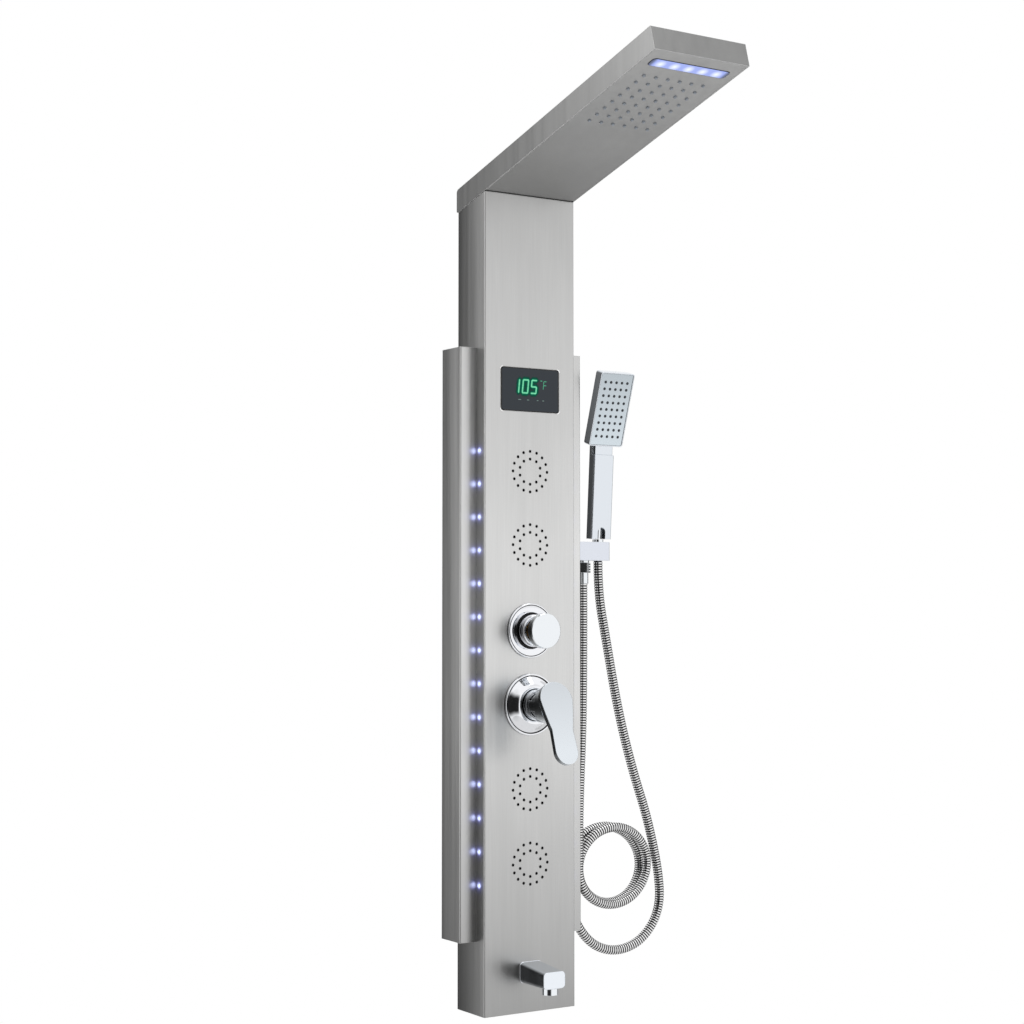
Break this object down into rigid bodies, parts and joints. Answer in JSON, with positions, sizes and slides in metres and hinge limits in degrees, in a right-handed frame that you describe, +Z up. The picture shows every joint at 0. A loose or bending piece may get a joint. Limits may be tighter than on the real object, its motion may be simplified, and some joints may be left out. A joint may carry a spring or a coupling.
{
  "type": "shower panel column",
  "caption": "Wall shower column: folded steel case with lit wings, tilted rain arm, body jets, display, diverter, lever mixer, bath spout and hand shower on a coiled metal hose.",
  "frame": {"origin": "on the wall's surface, at the middle of the foot plate's lower rear edge", "axes": "+X to the right as seen from the front, +Y into the wall, +Z up along the column"},
  "size_m": [0.3811, 0.4767, 1.3],
  "materials": {
    "brushed_steel": "stainless steel brushed along the column",
    "zinc_steel": "zinc-plated steel",
    "chrome": "polished chrome plate",
    "brass": "bare cast brass",
    "seal_rubber": "black rubber",
    "nozzle_silicone": "grey silicone",
    "hose_rubber": "black rubber hose",
    "metal_hose": "rubber tube under a polished steel spiral",
    "clear_lens": "clear plastic lens",
    "dark_glass": "dark tinted window",
    "black_plastic": "black moulded plastic",
    "white_plastic": "white moulded plastic",
    "board": "white circuit board",
    "handset_chrome": "chrome-plated plastic",
    "spray_plate": "satin chrome-plated plastic"
  },
  "bodies": {
    "panel": {"column_shell": "brushed_steel", "foot_plate": "brushed_steel", "left_wing": "brushed_steel", "right_wing": "brushed_steel", "arm_cover": "brushed_steel", "arm_plate": "brushed_steel", "arm_gasket": "seal_rubber", "rain_nozzles": "nozzle_silicone", "rain_chamber": "white_plastic", "light_gasket": "seal_rubber", "light_lens": "clear_lens", "light_board": "board", "display_window": "dark_glass", "display_module": "black_plastic", "lamp_lenses_left": "clear_lens", "lamp_lenses_right": "clear_lens", "lamp_board_left": "board", "lamp_board_right": "board", "jet_pads": "seal_rubber", "jet_chambers": "white_plastic", "valve_bodies": "brass", "cartridges": "brass", "escutcheons": "chrome", "spout_body": "chrome", "aerator": "chrome", "pipe_fittings": "brass", "inner_hoses": "hose_rubber", "generator_case": "black_plastic", "wall_brackets": "zinc_steel", "hanger_rails": "zinc_steel", "hand_holder": "chrome", "outlet_nut": "chrome", "hand_hose": "metal_hose", "hand_hose_coil": "metal_hose"},
    "knob": {"diverter_knob": "chrome"},
    "turret": {"mixer_turret": "chrome"},
    "lever": {"mixer_lever": "chrome"},
    "rotor": {"generator_rotor": "white_plastic"},
    "hose_end": {"hose_nut": "chrome"},
    "hand_shower": {"handset_shell": "handset_chrome", "handset_face": "spray_plate", "handset_nozzles": "nozzle_silicone", "handset_connector": "brass"}
  },
  "joints": [
    {"name": "diverter_turn", "type": "hinge", "parent": "panel", "child": "knob", "pos_m": [0, -0.1, 0.5373], "axis": [0, -1, 0], "continuous": true},
    {"name": "mixer_temperature", "type": "hinge", "parent": "panel", "child": "turret", "pos_m": [0, -0.1, 0.4325], "axis": [0, -1, 0], "range_deg": [-45, 45]},
    {"name": "mixer_flow", "type": "hinge", "parent": "turret", "child": "lever", "pos_m": [0, -0.101, 0.4325], "axis": [-1, 0, 0], "range_deg": [0, 25]},
    {"name": "handset_lift", "type": "slide", "parent": "panel", "child": "hose_end", "axis": [0, 0, 1], "range_m": [0, 0.035]},
    {"name": "handset_swivel", "type": "hinge", "parent": "hose_end", "child": "hand_shower", "pos_m": [0.1515, -0.03, 0.67], "axis": [0, 0, 1], "range_deg": [-20, 60]},
    {"name": "generator_spin", "type": "hinge", "parent": "panel", "child": "rotor", "pos_m": [-0.001, -0.044, 0.995], "axis": [0, 0, 1], "continuous": true}
  ]
}
